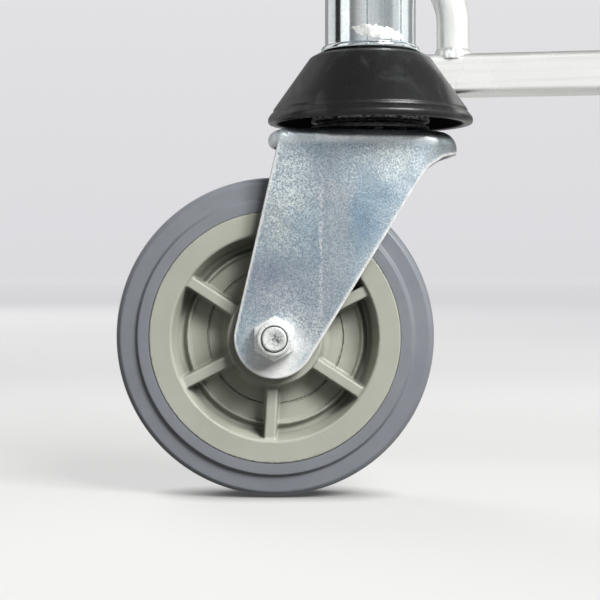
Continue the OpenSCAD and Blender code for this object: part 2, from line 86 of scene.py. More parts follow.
# ---- distance fields, in millimetres
def outline_distance(px, py, poly):
    """Signed distance to a closed polygon, negative inside."""
    poly = np.asarray(poly, float)
    d = None
    inside = None
    for (ax, ay), (bx, by) in zip(poly, np.roll(poly, -1, 0)):
        ex, ey = bx - ax, by - ay
        wx, wy = px - ax, py - ay
        t = np.clip((wx * ex + wy * ey) / (ex * ex + ey * ey), 0, 1)
        q = (wx - ex * t) ** 2 + (wy - ey * t) ** 2
        d = q if d is None else np.minimum(d, q)
        up = (py >= ay) & (py < by) | (py < ay) & (py >= by)
        if abs(ey) > 1e-12:
            hit = up & (px < ax + (py - ay) * ex / ey)
            inside = hit if inside is None else inside ^ hit
    return np.where(inside, -1.0, 1.0) * np.sqrt(d)


def round_and(a, b, r):
    """Intersection with the shared edge rounded to r."""
    u, v = np.maximum(a + r, 0), np.maximum(b + r, 0)
    return np.minimum(np.maximum(a, b), -r) + np.sqrt(u * u + v * v)


def round_or(a, b, r):
    """Union with a fillet of r."""
    return -round_and(-a, -b, r)


def corner_arc(before, corner, after, radius, steps):
    """Points along the arc that rounds one corner, or the corner itself where the line is straight."""
    corner = np.array(corner)
    a, b = np.array(before) - corner, np.array(after) - corner
    length_a, length_b = np.linalg.norm(a), np.linalg.norm(b)
    a, b = a / length_a, b / length_b
    half = math.acos(max(-1, min(1, float(a @ b)))) / 2
    if half > math.pi / 2 - 1e-3:
        return [tuple(corner)]
    reach = min(radius / math.tan(half), 0.49 * length_a, 0.49 * length_b)
    radius = reach * math.tan(half)
    middle = corner + (a + b) / np.linalg.norm(a + b) * radius / math.sin(half)
    start, end = corner + a * reach - middle, corner + b * reach - middle
    first, last = math.atan2(start[1], start[0]), math.atan2(end[1], end[0])
    if last - first > math.pi:
        last -= 2 * math.pi
    if first - last > math.pi:
        last += 2 * math.pi
    turns = [first + (last - first) * k / steps for k in range(steps + 1)]
    return [(middle[0] + radius * math.cos(w), middle[1] + radius * math.sin(w)) for w in turns]


def fillet(points, steps=6):
    """Corner points (x, y) or (x, y, radius) to a smooth polyline."""
    out = []
    for i, (x, y, *radius) in enumerate(points):
        if radius and 0 < i < len(points) - 1:
            out += corner_arc(points[i - 1][:2], (x, y), points[i + 1][:2], radius[0], steps)
        else:
            out.append((x, y))
    return out


def make_mesh(name, verts_mm, quads, normals=None):
    """A mesh in metres from points in millimetres."""
    me = bpy.data.meshes.new(name)
    verts = np.asarray(verts_mm, np.float32) * 0.001
    quads = np.asarray(quads, np.int32)
    me.vertices.add(len(verts))
    me.vertices.foreach_set("co", verts.ravel())
    me.loops.add(quads.size)
    me.loops.foreach_set("vertex_index", quads.ravel())
    me.polygons.add(len(quads))
    me.polygons.foreach_set("loop_start", np.arange(len(quads), dtype=np.int32) * quads.shape[1])
    me.update(calc_edges=True)
    me.validate()
    me.polygons.foreach_set("use_smooth", np.ones(len(me.polygons), bool))
    if normals is not None and len(me.vertices) == len(normals):
        me.normals_split_custom_set_from_vertices(np.asarray(normals, float).tolist())
    me.update()
    return me


def crossed_cells(inside):
    """The grid cells that the surface passes through, and the number of each one."""
    n = [s - 1 for s in inside.shape]
    count = np.zeros(n, np.int8)
    for o in np.ndindex(2, 2, 2):
        count += inside[o[0]:n[0] + o[0], o[1]:n[1] + o[1], o[2]:n[2] + o[2]]
    active = (count > 0) & (count < 8)
    index = np.full(n, -1, np.int64)
    cells = np.argwhere(active)
    index[active] = np.arange(len(cells))
    return cells, index


def crossing_centres(grid, cells):
    """For every cell, the middle of the points where its edges cross the surface, in grid steps."""
    total = np.zeros((len(cells), 3))
    hits = np.zeros(len(cells))
    for axis in range(3):
        others = [a for a in range(3) if a != axis]
        for side in np.ndindex(2, 2):
            start = np.zeros(3, int)
            start[others] = side
            end = start.copy()
            end[axis] = 1
            v0 = grid[tuple((cells + start).T)]
            v1 = grid[tuple((cells + end).T)]
            m = (v0 < 0) != (v1 < 0)
            p = (cells[m] + start).astype(float)
            p[:, axis] += v0[m] / (v0[m] - v1[m])
            total[m] += p
            hits[m] += 1
    return total / hits[:, None]


def faces_across(inside, index, axis):
    """One quad for every grid edge along this axis that crosses the surface."""
    b, c = (axis + 1) % 3, (axis + 2) % 3
    n = index.shape
    first = np.take(inside, range(inside.shape[axis] - 1), axis)
    second = np.take(inside, range(1, inside.shape[axis]), axis)
    e = np.argwhere(first != second)
    e = e[(e[:, b] > 0) & (e[:, c] > 0) & (e[:, b] < n[b]) & (e[:, c] < n[c])]
    corners = []
    for db, dc in ((-1, -1), (0, -1), (0, 0), (-1, 0)):
        q = e.copy()
        q[:, b] += db
        q[:, c] += dc
        corners.append(index[tuple(q.T)])
    quads = np.stack(corners, 1)
    flip = ~first[tuple(e.T)]
    quads[flip] = quads[flip][:, ::-1]
    return quads


def solid(name, f, lo, hi, h):
    """Meshes the zero level of f with surface nets, then moves the vertices onto it."""
    axes = [np.arange(lo[i], hi[i] + h, h) for i in range(3)]
    grid = np.broadcast_to(
        f(axes[0][:, None, None], axes[1][None, :, None], axes[2][None, None, :]),
        [len(a) for a in axes])
    inside = grid < 0
    cells, index = crossed_cells(inside)
    pts = np.array(lo) + h * crossing_centres(grid, cells)
    quads = np.concatenate([faces_across(inside, index, axis) for axis in range(3)])
    for _ in range(3):
        value, grad = gradient(f, pts)
        step = np.clip(value / np.maximum((grad ** 2).sum(1), 0.05), -h * 0.6, h * 0.6)
        pts = pts - grad * step[:, None]
    _, grad = gradient(f, pts)
    normals = grad / np.maximum(np.linalg.norm(grad, axis=1), 1e-9)[:, None]
    return make_mesh(name, pts, quads, normals)


def gradient(f, p, e=0.04):
    """f at the points p, and its slope there."""
    x, y, z = p.T
    g = np.stack([f(x + e, y, z) - f(x - e, y, z), f(x, y + e, z) - f(x, y - e, z),
                  f(x, y, z + e) - f(x, y, z - e)], 1) / (2 * e)
    return f(x, y, z), g


def lathe(name, profile, segs=160, axis="z", ripple=None):
    """Turns an (r, z) outline about z, or about -y when axis is y, so z grows towards -y."""
    prof = np.asarray(profile, float)
    ang = np.arange(segs) * 2 * math.pi / segs
    r = prof[:, 0][:, None] * np.ones(segs)
    z = prof[:, 1][:, None] * np.ones(segs)
    if ripple is not None:
        dr, dz = ripple(prof, ang)
        r, z = r + dr, z + dz
    x, y = r * np.cos(ang), r * np.sin(ang)
    pts = np.stack([x, y, z], -1) if axis == "z" else np.stack([x, -z, y], -1)
    m = len(prof)
    i = np.arange(m - 1)[:, None]
    j = np.arange(segs)[None, :]
    a, b = i * segs + j, i * segs + (j + 1) % segs
    quads = np.stack([a, b, b + segs, a + segs], -1).reshape(-1, 4)
    me = make_mesh(name, pts.reshape(-1, 3), quads)
    me.set_sharp_from_angle(angle=math.radians(40))
    return me


def mark(mesh, name, f):
    """Stores f at every vertex, for the materials."""
    co = np.empty(len(mesh.vertices) * 3, np.float32)
    mesh.vertices.foreach_get("co", co)
    x, y, z = co.reshape(-1, 3).T * 1000.0
    layer = mesh.attributes.new(name, "FLOAT", "POINT")
    layer.data.foreach_set("value", np.asarray(f(x, y, z), np.float32))


def new_object(name, data):
    ob = bpy.data.objects.new(name, data)
    bpy.context.scene.collection.objects.link(ob)
    return ob


def add(name, mesh, look, body, matrix, replaces):
    """Puts a piece on a body, in place of the CAD nodes it replaces."""
    ob = new_object(name, mesh)
    if matrix is not None:
        ob.matrix_world = matrix
    if not mesh.materials:
        mesh.materials.append(MAT[look])
    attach(ob, body)
    if replaces:
        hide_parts(*replaces)


# ---- materials
class Nodes:
    """A small wrapper for building node materials."""

    def __init__(self, tree):
        self.tree = tree
        tree.nodes.clear()

    def new(self, kind, **values):
        node = self.tree.nodes.new(kind)
        for k, v in values.items():
            setattr(node, k, v)
        return node

    def put(self, socket, value):
        """Links a socket, or sets its value; a colour may leave out its alpha."""
        if isinstance(value, bpy.types.NodeSocket):
            self.tree.links.new(value, socket)
            return
        size = len(socket.default_value) if hasattr(socket.default_value, "__len__") else 1
        if size > 1 and isinstance(value, (int, float)):
            value = [value] * size
        elif size == 4 and len(value) == 3:
            value = (*value, 1.0)
        socket.default_value = value

    def math(self, op, a, b=0.5):
        m = self.new("ShaderNodeMath", operation=op)
        self.put(m.inputs[0], a)
        self.put(m.inputs[1], b)
        return m.outputs[0]

    def mix(self, fac, a, b, mode="MIX"):
        m = self.new("ShaderNodeMix", data_type="RGBA", blend_type=mode)
        self.put(m.inputs["Factor"], fac)
        self.put(m.inputs[6], a)
        self.put(m.inputs[7], b)
        return m.outputs[2]

    def coords(self, scale=(1, 1, 1)):
        c = self.new("ShaderNodeTexCoord")
        m = self.new("ShaderNodeMapping")
        self.tree.links.new(c.outputs["Object"], m.inputs["Vector"])
        m.inputs["Scale"].default_value = scale
        return m.outputs[0]

    def noise(self, vector, scale, detail=3.0, rough=0.5, warp=0.0):
        n = self.new("ShaderNodeTexNoise")
        self.put(n.inputs["Vector"], vector)
        n.inputs["Scale"].default_value = scale
        n.inputs["Detail"].default_value = detail
        n.inputs["Roughness"].default_value = rough
        n.inputs["Distortion"].default_value = warp
        return n.outputs["Fac"]

    def cells(self, vector, scale, feature="F1"):
        n = self.new("ShaderNodeTexVoronoi", feature=feature)
        self.put(n.inputs["Vector"], vector)
        n.inputs["Scale"].default_value = scale
        return n.outputs["Distance"]

    def ramp(self, fac, stops):
        """stops are (position, grey) or (position, colour)."""
        r = self.new("ShaderNodeValToRGB")
        elements = r.color_ramp.elements
        while len(elements) < len(stops):
            elements.new(0.5)
        for element, (position, colour) in zip(elements, stops):
            if isinstance(colour, float):
                colour = (colour, colour, colour)
            element.position = position
            element.color = (*colour, 1.0)
        self.put(r.inputs[0], fac)
        return r.outputs[0]

    def grey(self, fac, lo, hi, a=0.0, b=1.0):
        """fac from lo to hi becomes a to b, and stays at a or b outside them."""
        m = self.new("ShaderNodeMapRange")
        self.put(m.inputs[0], fac)
        for i, v in zip((1, 2, 3, 4), (lo, hi, a, b)):
            m.inputs[i].default_value = v
        return m.outputs[0]

    def parts(self, vector):
        """The x, y and z of a vector."""
        xyz = self.new("ShaderNodeSeparateXYZ")
        self.put(xyz.inputs[0], vector)
        return xyz.outputs

    def dot(self, vector, axis):
        d = self.new("ShaderNodeVectorMath", operation="DOT_PRODUCT")
        self.put(d.inputs[0], vector)
        d.inputs[1].default_value = axis
        return d.outputs["Value"]

    def marked(self, name):
        """What mark() stored under this name."""
        return self.new("ShaderNodeAttribute", attribute_name=name).outputs["Fac"]

    def blob(self, v, x, z, radius, warp):
        """1 inside a soft ragged spot in the xz plane, 0 outside it."""
        xyz = self.parts(v)
        dx = self.math("SUBTRACT", xyz[0], x / 1000)
        dz = self.math("SUBTRACT", xyz[2], z / 1000)
        d = self.math("ADD", self.math("MULTIPLY", dx, dx), self.math("MULTIPLY", dz, dz))
        d = self.math("SQRT", d)
        d = self.math("ADD", d, self.math("MULTIPLY", self.math("SUBTRACT", warp, 0.5), 0.03))
        return self.grey(d, radius / 1000 * 0.45, radius / 1000 * 1.35, 1.0, 0.0)

    def band(self, v, x0, x1, z0, z1, soft):
        """1 inside a soft-edged rectangle in the xz plane, in millimetres."""
        xyz = self.parts(v)
        out = None
        for axis, lo, hi in ((0, x0, x1), (2, z0, z1)):
            value = self.math("MULTIPLY", xyz[axis], 1000)
            rise = self.grey(value, lo - soft / 2, lo + soft / 2)
            fall = self.grey(value, hi - soft / 2, hi + soft / 2, 1.0, 0.0)
            both = self.math("MULTIPLY", rise, fall)
            out = both if out is None else self.math("MULTIPLY", out, both)
        return out

    def facing_up(self):
        """1 where the surface looks up, -1 where it looks down."""
        return self.parts(self.new("ShaderNodeNewGeometry").outputs["Normal"])[2]

    def shelter(self, reach):
        """1 in the open, down to 0 deep inside a recess."""
        ao = self.new("ShaderNodeAmbientOcclusion", samples=8)
        ao.inputs["Distance"].default_value = reach
        return ao.outputs["AO"]

    def bump(self, height, strength, distance=0.001, normal=None):
        b = self.new("ShaderNodeBump")
        b.inputs["Strength"].default_value = strength
        b.inputs["Distance"].default_value = distance
        self.put(b.inputs["Height"], height)
        if normal is not None:
            self.put(b.inputs["Normal"], normal)
        return b.outputs[0]

    def shader(self, kind, colour):
        s = self.new(kind)
        self.put(s.inputs["Color"], colour)
        return s.outputs[0]

    def choose(self, flag, no, yes):
        """The shader yes where flag is 1, and no where it is 0."""
        m = self.new("ShaderNodeMixShader")
        self.put(m.inputs[0], flag)
        self.put(m.inputs[1], no)
        self.put(m.inputs[2], yes)
        return m.outputs[0]


def material(name, build):
    mat = bpy.data.materials.new(name)
    mat.use_nodes = True
    n = Nodes(mat.node_tree)
    shader = n.new("ShaderNodeBsdfPrincipled")
    out = n.new("ShaderNodeOutputMaterial")
    n.tree.links.new(shader.outputs[0], out.inputs[0])
    for key, value in build(n).items():
        n.put(shader.inputs[key], value)
    return mat


# patches on the fork's plate, partly the zinc's own bluer and greyer tones and partly painted highlights,
# painted reflections and painted shade: middle (x, z) and radius, colour, strength
ZINC_TONES_AND_PAINTED_LIGHT = (
    ((-40, 131), 16, (0.86, 0.92, 0.88), 0.90),
    ((-40, 150), 14, (0.90, 0.99, 1.00), 0.95),
    ((-28, 126), 10, (0.45, 0.60, 0.70), 0.70),
    ((-48, 98), 13, (0.26, 0.28, 0.37), 0.85),
    ((-30, 96), 12, (0.40, 0.42, 0.49), 0.70),
    ((-20, 152), 10, (0.48, 0.52, 0.56), 0.70),
    ((-5, 128), 11, (0.23, 0.36, 0.48), 0.90),
    ((3, 142), 10, (0.34, 0.47, 0.56), 0.80),
    ((10, 159), 13, (0.90, 0.97, 0.95), 0.85),
    ((34, 165), 12, (0.27, 0.29, 0.26), 0.95),
    ((-45, 88), 12, (0.78, 0.82, 0.83), 0.60),
    ((-34, 80), 10, (0.86, 0.89, 0.88), 0.70),
    ((-45, 60), 17, (0.97, 0.97, 0.94), 0.95))


def painted_bend_reflection(n, tone, v, warp, cloud):
    """Painted reflections where the cheek bends: a grey strip down its curving part, and a painted
    highlight along the crease beside it.
    """
    bend_reflection = n.math("MULTIPLY", n.band(v, -23.8, -9.5, 72, 146, 4.0), n.grey(cloud, 0.3, 0.6, 0.35, 0.75))
    tone = n.mix(bend_reflection, tone, (0.58, 0.59, 0.59))
    crease_highlight = n.math("MULTIPLY", n.band(v, -24.5, -23.1, 84, 144, 0.9), n.grey(warp, 0.35, 0.6, 0.25, 0.75))
    return n.mix(crease_highlight, tone, (0.92, 0.94, 0.94))


def zinc_sheet(n):
    """Blue zinc plate, in the fork's own axes, with painted highlights, reflections and shade in its
    colour.
    """
    v = n.coords()
    warp = n.noise(v, 60, 3, 0.6)
    cloud = n.noise(n.coords((1, 1, 0.7)), 55, 4, 0.65, 0.5)
    spangle = n.noise(v, 1250, 3, 0.75)
    fleck = n.cells(v, 1700)
    tone = n.mix(n.grey(cloud, 0.36, 0.62), (0.46, 0.58, 0.66), (0.62, 0.70, 0.72))
    # the patches paint highlights, reflections and shade into the plate's colour, besides its own tones
    for (x, z), radius, colour, amount in ZINC_TONES_AND_PAINTED_LIGHT:
        tone = n.mix(n.math("MULTIPLY", n.blob(v, x, z, radius, warp), amount), tone, colour)
    # painted reflection and painted highlight where the cheek bends
    tone = painted_bend_reflection(n, tone, v, warp, cloud)
    # the boss: less grain and less metal, to go with its painted highlight from the patches
    boss = n.blob(v, -45, 58, 19, warp)
    grain = n.math("MULTIPLY", n.grey(spangle, 0.42, 0.56, 0.0, 0.82), n.grey(boss, 0, 1, 1.0, 0.25))
    tone = n.mix(grain, tone, (0.20, 0.26, 0.33))
    tone = n.mix(n.grey(fleck, 0.0, 0.36, 0.8, 0.0), tone, (0.98, 1.0, 1.0))
    # painted highlight along the rounded top edge of the crown
    crown = n.band(v, -90, 30, CROWN - 6.5, CROWN - 1.5, 2.5)
    tone = n.mix(n.math("MULTIPLY", crown, n.grey(warp, 0.35, 0.6, 0.15, 0.85)), tone, (0.93, 0.98, 1.0))
    # the sheared edge: paler, less metallic steel, lightened further as a painted highlight
    edge = n.marked("cut_edge")
    tone = n.mix(edge, tone, (0.97, 0.97, 0.95))
    rough = n.math("ADD", n.grey(spangle, 0.3, 0.7, 0.0, 0.14), n.grey(cloud, 0.3, 0.7, 0.2, 0.32))
    return {"Base Color": tone, "Roughness": rough,
            "Metallic": n.grey(n.math("MAXIMUM", edge, boss), 0, 1, 0.72, 0.12),
            "Normal": n.bump(spangle, 0.3, 0.0004, n.bump(cloud, 0.25, 0.0012))}


def greased_steel(n):
    """Dark grease with bright flecks, partly bare steel and partly painted glints, most of all in one ring
    round the head.
    """
    v = n.coords()
    fleck = n.noise(n.coords((1, 1, 3)), 500, 4, 0.7, 0.5)
    smear = n.noise(v, 90, 3, 0.6)
    # the bright flecks: bare steel, and painted glints of the shiny ring
    steel_and_glints = n.math("MULTIPLY", n.grey(fleck, 0.45, 0.53), n.grey(smear, 0.30, 0.50))
    glint_ring = n.band(v, -100, 100, HEAD_LO + 4.2, HEAD_LO + 6.4, 1.0)
    steel_and_glints = n.math("MULTIPLY", steel_and_glints, n.grey(glint_ring, 0, 1, 0.12, 1.0))
    return {"Base Color": n.mix(steel_and_glints, (0.012, 0.012, 0.011), (0.95, 0.97, 0.92)),
            "Metallic": n.grey(steel_and_glints, 0, 1, 0.0, 0.6), "Roughness": n.grey(smear, 0.3, 0.7, 0.35, 0.6),
            "Normal": n.bump(fleck, 0.5, 0.0006)}


def silver_lacquer(streak_scale, metallic):
    """Pale lacquered tube; streak_scale is small along the direction of the streaks."""
    def build(n):
        v = n.coords()
        cloud = n.noise(v, 30, 3, 0.6)
        fleck = n.noise(v, 1500, 3, 0.7)
        streak = n.noise(n.coords(streak_scale), 420, 3, 0.6)
        tone = n.mix(n.grey(cloud, 0.3, 0.7), (0.93, 0.93, 0.90), (0.98, 0.98, 0.96))
        tone = n.mix(n.grey(streak, 0.48, 0.60, 0.0, 0.30), tone, (0.66, 0.68, 0.65))
        tone = n.mix(n.grey(fleck, 0.5, 0.7, 0.0, 0.3), tone, (0.82, 0.83, 0.82))
        # painted reflection: faces that look up are darkened, standing in for the dark ceiling they mirror
        tone = n.mix(n.grey(n.facing_up(), 0.05, 0.7, 0.0, 0.85), tone, (0.26, 0.27, 0.25))
        bare = n.grey(n.facing_up(), -0.8, -0.1, 0.9, metallic)
        return {"Base Color": tone, "Metallic": bare, "Roughness": n.grey(cloud, 0.3, 0.7, 0.20, 0.30),
                "Normal": n.bump(fleck, 0.08, 0.0003)}
    return build


def zinc_tube(n):
    v = n.coords()
    drawn = n.noise(n.coords((1, 1, 0.05)), 1300, 3, 0.6)
    cloud = n.noise(v, 60, 3, 0.6)
    spangle = n.noise(v, 1100, 2, 0.6)
    tone = n.mix(n.grey(cloud, 0.3, 0.7), (0.62, 0.70, 0.74), (0.80, 0.83, 0.82))
    tone = n.mix(n.grey(spangle, 0.38, 0.66, 0.0, 0.36), tone, (0.45, 0.53, 0.58))
    tone = n.mix(n.grey(drawn, 0.45, 0.62, 0.0, 0.25), tone, (0.90, 0.92, 0.92))
    return {"Base Color": tone, "Metallic": 0.92, "Roughness": n.grey(cloud, 0.3, 0.7, 0.04, 0.09),
            "Normal": n.bump(spangle, 0.05, 0.0003)}


def fastener(n):
    v = n.coords()
    a = n.noise(v, 500, 3, 0.6)
    tone = n.mix(n.grey(a, 0.3, 0.7), (0.74, 0.77, 0.76), (0.97, 0.98, 0.95))
    pit = n.math("MULTIPLY", n.blob(v, 0.6, 0, 3.2, 0.5), n.grey(n.noise(v, 900, 4, 0.8), 0.42, 0.56))
    tone = n.mix(n.math("MULTIPLY", pit, n.marked("bolt_face")), tone, (0.10, 0.11, 0.11))
    return {"Base Color": tone, "Metallic": 0.35, "Roughness": n.grey(a, 0.3, 0.7, 0.22, 0.4),
            "Normal": n.bump(n.noise(v, 900, 3, 0.6), 0.25, 0.0003)}


def bright_steel(n):
    a = n.noise(n.coords((1, 1, 12)), 300, 2, 0.5)
    return {"Base Color": n.mix(a, (0.6, 0.6, 0.6), (0.8, 0.8, 0.79)), "Metallic": 1.0,
            "Roughness": n.grey(a, 0.3, 0.7, 0.15, 0.3)}


def weld_metal(n):
    v = n.coords()
    a = n.noise(v, 260, 4, 0.65, 0.6)
    tone = n.mix(n.grey(a, 0.32, 0.55), (0.62, 0.64, 0.62), (0.99, 0.99, 0.96))
    return {"Base Color": tone, "Metallic": 0.35, "Roughness": n.grey(a, 0.3, 0.7, 0.25, 0.5),
            "Normal": n.bump(a, 0.6, 0.0008)}


def tyre_rubber(n):
    v = n.coords()
    a = n.noise(v, 45, 4, 0.6)
    b = n.noise(v, 1400, 2, 0.5)
    scuff = n.noise(v, 180, 5, 0.7, 1.2)
    tone = n.mix(n.grey(a, 0.35, 0.65), (0.200, 0.212, 0.236), (0.222, 0.235, 0.258))
    tone = n.mix(n.blob(v, 0, 0, 47.6, 0.5), tone, (0.272, 0.280, 0.298))  # paler next to the rim
    tone = n.mix(n.grey(scuff, 0.62, 0.72, 0.0, 0.35), tone, (0.26, 0.27, 0.29))
    return {"Base Color": tone, "Roughness": n.grey(a, 0.3, 0.7, 0.38, 0.52), "Specular IOR Level": 0.45,
            "Normal": n.bump(b, 0.08, 0.0002, n.bump(a, 0.06, 0.001))}


def core_plastic(n):
    v = n.coords()
    a = n.noise(v, 55, 4, 0.6)
    b = n.noise(v, 1800, 2, 0.5)
    flow = n.noise(v, 14, 2, 0.4, 1.5)
    tone = n.mix(n.grey(a, 0.35, 0.65), (0.395, 0.405, 0.340), (0.432, 0.441, 0.375))
    tone = n.mix(n.grey(flow, 0.4, 0.6, 0.0, 0.25), tone, (0.455, 0.46, 0.40))
    # painted shade: the colour darkens towards black deep in the recesses
    tone = n.mix(n.grey(n.shelter(0.016), 0.2, 0.70, 0.65, 0.0), tone, (0.10, 0.10, 0.085))
    return {"Base Color": tone, "Roughness": n.grey(a, 0.3, 0.7, 0.42, 0.55), "Specular IOR Level": 0.4,
            "Normal": n.bump(b, 0.10, 0.00025)}


def gloss_rubber(n):
    v = n.coords()
    a = n.noise(v, 70, 3, 0.6)
    dust = n.noise(v, 900, 4, 0.7)
    inside = n.marked("hollow")
    tone = n.mix(n.grey(dust, 0.55, 0.75, 0.0, 0.5), (0.008, 0.008, 0.008), (0.03, 0.03, 0.029))
    smear = n.noise(n.coords((1, 1, 0.4)), 38, 4, 0.6, 1.2)
    tone = n.mix(n.grey(smear, 0.52, 0.68, 0.0, 0.75), tone, (0.045, 0.046, 0.046))
    # painted shade: the inside of the skirt is made near black, rough and hardly reflective
    tone = n.mix(inside, tone, (0.002, 0.002, 0.002))
    rough = n.mix(inside, n.grey(a, 0.3, 0.7, 0.26, 0.36), 0.8)
    return {"Base Color": tone, "Roughness": rough, "Specular IOR Level": n.grey(inside, 0, 1, 0.38, 0.03),
            "Normal": n.bump(n.noise(v, 500, 3, 0.6), 0.10, 0.0004, n.bump(a, 0.12, 0.0015))}


def matte_rubber(n):
    v = n.coords()
    a = n.noise(v, 400, 4, 0.6)
    return {"Base Color": n.mix(a, (0.018, 0.018, 0.018), (0.035, 0.035, 0.036)),
            "Roughness": n.grey(a, 0.3, 0.7, 0.5, 0.7), "Normal": n.bump(a, 0.3, 0.0004)}


def black_plastic(n):
    v = n.coords()
    a = n.noise(v, 1200, 2, 0.5)
    return {"Base Color": n.mix(n.noise(v, 60, 3), (0.02, 0.02, 0.021), (0.03, 0.03, 0.031)),
            "Roughness": n.grey(a, 0.3, 0.7, 0.4, 0.55), "Normal": n.bump(a, 0.3, 0.0003)}


def board_laminate(n):
    a = n.noise(n.coords((0.25, 1, 1)), 500, 4, 0.6)
    return {"Base Color": n.mix(a, (0.035, 0.035, 0.038), (0.07, 0.07, 0.074)),
            "Roughness": n.grey(a, 0.3, 0.7, 0.5, 0.65), "Normal": n.bump(a, 0.2, 0.0004)}


def vinyl(n):
    v = n.coords()
    grain = n.cells(v, 900, "DISTANCE_TO_EDGE")
    soft = n.noise(v, 25, 3, 0.5)
    tone = n.mix(n.grey(soft, 0.3, 0.7), (0.022, 0.023, 0.026), (0.036, 0.037, 0.041))
    return {"Base Color": tone, "Specular IOR Level": 0.22,
            "Roughness": n.grey(grain, 0.0, 0.25, 0.78, 0.62),
            "Normal": n.bump(n.grey(grain, 0.0, 0.2), 0.45, 0.0005, n.bump(soft, 0.35, 0.004))}


MAT = {name: material(name, build) for name, build in {
    "zinc_sheet": zinc_sheet, "zinc_post": zinc_tube, "greased": greased_steel,
    "zinc_rail": silver_lacquer((0.02, 0.02, 1), 0.25), "zinc_brace": silver_lacquer((1, 1, 0.04), 0.4),
    "fastener": fastener, "bright_steel": bright_steel, "weld": weld_metal, "tyre": tyre_rubber,
    "core": core_plastic, "gloss_rubber": gloss_rubber, "matte_rubber": matte_rubber,
    "black_plastic": black_plastic, "board": board_laminate, "vinyl": vinyl}.items()}

CAD_LOOKS = {
    "zinc_post": (
        "post_", "upper_rails", "castor_sockets", "clamp_bosses", "top_hoop", "cross_tube", "grip_bars"),
    "zinc_rail": ("side_rail", "front_rail"),
    "zinc_brace": ("corner_braces",),
    "zinc_sheet": ("fork", "swivel_heads", "tube_saddles"),
    "fastener": ("axle_bolt", "axle_nut", "pad_screws"),
    "bright_steel": ("axle_sleeve", "wheel_bearings", "kingpins"),
    "greased": ("swivel_balls",),
    "core": ("wheel_core",),
    "tyre": ("tyre",),
    "gloss_rubber": ("rubber_buffers",),
    "matte_rubber": ("hand_grips",),
    "black_plastic": ("post_collars", "rail_end_caps", "clamp_knob"),
    "board": ("pad_board",),
    "vinyl": ("arm_pad",)}


def look_of(node):
    """The look listed for the longest name that the node starts with."""
    return max((len(start), look) for look, starts in CAD_LOOKS.items()
               for start in starts if node.startswith(start))[1]


def dress_cad_nodes():
    for node, ob in frame["nodes"].items():
        ob.data.materials.clear()
        ob.data.materials.append(MAT[look_of(node)])


dress_cad_nodes()

# ---- fork
CREASE = -23.8              # x where the cheeks start to draw in
HEEL_X, HEEL_R = 41.0, 20.0
TOE_X, TOE_R = -48.5, 61.0
BOW_R = ((HEEL_X - HEEL_R - CREASE) ** 2 + HALF_W ** 2 - HEEL_R ** 2) / (2 * (HALF_W - HEEL_R))
BOSS_R = 18.7               # rounded end of the cheek, around the axle
SIDE_END = HEEL_X + 2       # the side outline ends just past the heel


def circle_point(middle, radius, degrees):
    turn = math.radians(degrees)
    return middle[0] + radius * math.cos(turn), middle[1] + radius * math.sin(turn)


def plan_outline():
    """The crown seen from above, open towards the toe."""
    end = math.asin((HEEL_X - HEEL_R - CREASE) / (BOW_R - HEEL_R))
    side = [(CREASE + BOW_R * math.sin(end * k / 16), HALF_W - BOW_R + BOW_R * math.cos(end * k / 16))
            for k in range(17)]
    heel = [(HEEL_X - HEEL_R + HEEL_R * math.sin(end + (math.pi / 2 - end) * k / 14),
             HEEL_R * math.cos(end + (math.pi / 2 - end) * k / 14)) for k in range(1, 15)]
    half = [(-90, HALF_W)] + side + heel
    return half + [(x, -y) for x, y in reversed(half[:-1])]


def side_outline():
    """A cheek seen from the side."""
    boss = [circle_point(AXLE, BOSS_R, a) for a in np.linspace(167, 328.4, 28)]
    back = fillet([(-20, 82), (20.2, 145), (26.0, 153.6, 9), (33.5, 158.8, 8), (SIDE_END, 161.3)])[1:]
    return [(-42, CROWN)] + boss + back + [(SIDE_END, CROWN)]


PLAN = plan_outline()
SIDE = side_outline()


def fork_lip(plan, x, y, z):
    """The lip turned down at the toe of the crown."""
    toe = np.sqrt((x - TOE_X - TOE_R) ** 2 + y * y) - TOE_R
    top = z - CROWN
    toe_plan = round_and(plan, toe, 3.0)
    outside = round_and(round_and(toe_plan, top, 4.0), CROWN - 7.5 - z, 3.0)
    inside = round_and(toe_plan + SHEET, top + SHEET, 1.0)
    return round_and(np.maximum(outside, -inside), x + 20, 0.1)


def fork_field(x, y, z):
    plan = outline_distance(x, y, PLAN)
    top = z - CROWN
    # the top edge is rounder at the heel than along the cheeks
    edge_r = 4.5 + 3.7 * np.clip((x - 24) / 12, 0, 1)
    outer = round_and(plan, top, edge_r)
    inner = round_and(plan + SHEET, top + SHEET, edge_r - 3.0)
    cheeks = round_and(np.maximum(outer, -inner), outline_distance(x, z, SIDE), 0.8)
    d = np.minimum(cheeks, fork_lip(plan, x, y, z))
    bore = BORE_R - np.sqrt((x - AXLE[0]) ** 2 + (z - AXLE[1]) ** 2)
    kingpin = BORE_R - np.sqrt(x * x + y * y)
    return np.maximum(np.maximum(d, bore), kingpin)


def cut_edge(x, y, z):
    """1 on the sheared edge of the cheeks, which the plate paints pale: bare metal and a painted
    highlight.
    """
    return np.clip((outline_distance(x, z, SIDE) + 1.5) / 0.9, 0, 1) * (z < CROWN - 7)


fork_mesh = solid("fork", fork_field, (-67, -29, 54), (43, 29, 173.5), 0.9)
mark(fork_mesh, "cut_edge", cut_edge)

# ---- wheel; in the fields z runs along the axle towards -y
RIM_W, RIM_R = 18.0, 58.6   # half the rim's width, and the radius the tyre sits on
HUB_W, HUB_R = 21.0, 22.0
DISC_W = 5.0                # half the thickness of the web between hub and rim
RIBS, RIB_TURN, RIB_W = 6, math.radians(27), 16.5

